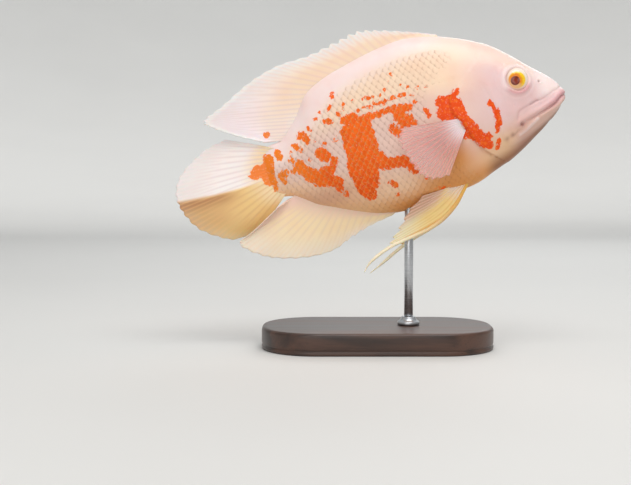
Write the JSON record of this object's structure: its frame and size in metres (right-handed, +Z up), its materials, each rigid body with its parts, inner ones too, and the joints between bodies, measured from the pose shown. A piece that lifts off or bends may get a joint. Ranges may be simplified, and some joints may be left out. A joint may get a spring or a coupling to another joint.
{
  "type": "oscar fish model",
  "caption": "Life-size oscar fish, white with orange scale patches, held nose up on a steel rod over a wooden plinth.",
  "frame": {"origin": "centre of the plinth's underside, on the surface it stands on", "axes": "+Z up, +X towards the fish's snout, +Y towards the fish's left side"},
  "size_m": [0.2806, 0.092, 0.2294],
  "materials": {
    "skin": "satin wet-look skin, white to pink with orange patches",
    "lips": "satin pink skin",
    "fin_membrane": "thin translucent cream membrane on pink rays",
    "eye": "clear glossy eyeball with a yellow iris and a dark red pupil",
    "plinth_wood": "satin dark-stained wood",
    "steel": "brushed"
  },
  "bodies": {
    "root": {"head": "skin", "trunk": "skin", "tail_stem": "skin", "upper_jaw": "lips", "lower_jaw": "lips", "gill_cover_right": "skin", "gill_cover_left": "skin", "eye_right": "eye", "eye_left": "eye", "dorsal_fin": "fin_membrane", "anal_fin": "fin_membrane", "caudal_fin": "fin_membrane", "pectoral_fin_right": "fin_membrane", "pectoral_fin_left": "fin_membrane", "pelvic_fin_right": "fin_membrane", "pelvic_fin_left": "fin_membrane", "stand_base": "plinth_wood", "stand_rod": "steel", "stand_collar": "steel"}
  },
  "joints": []
}
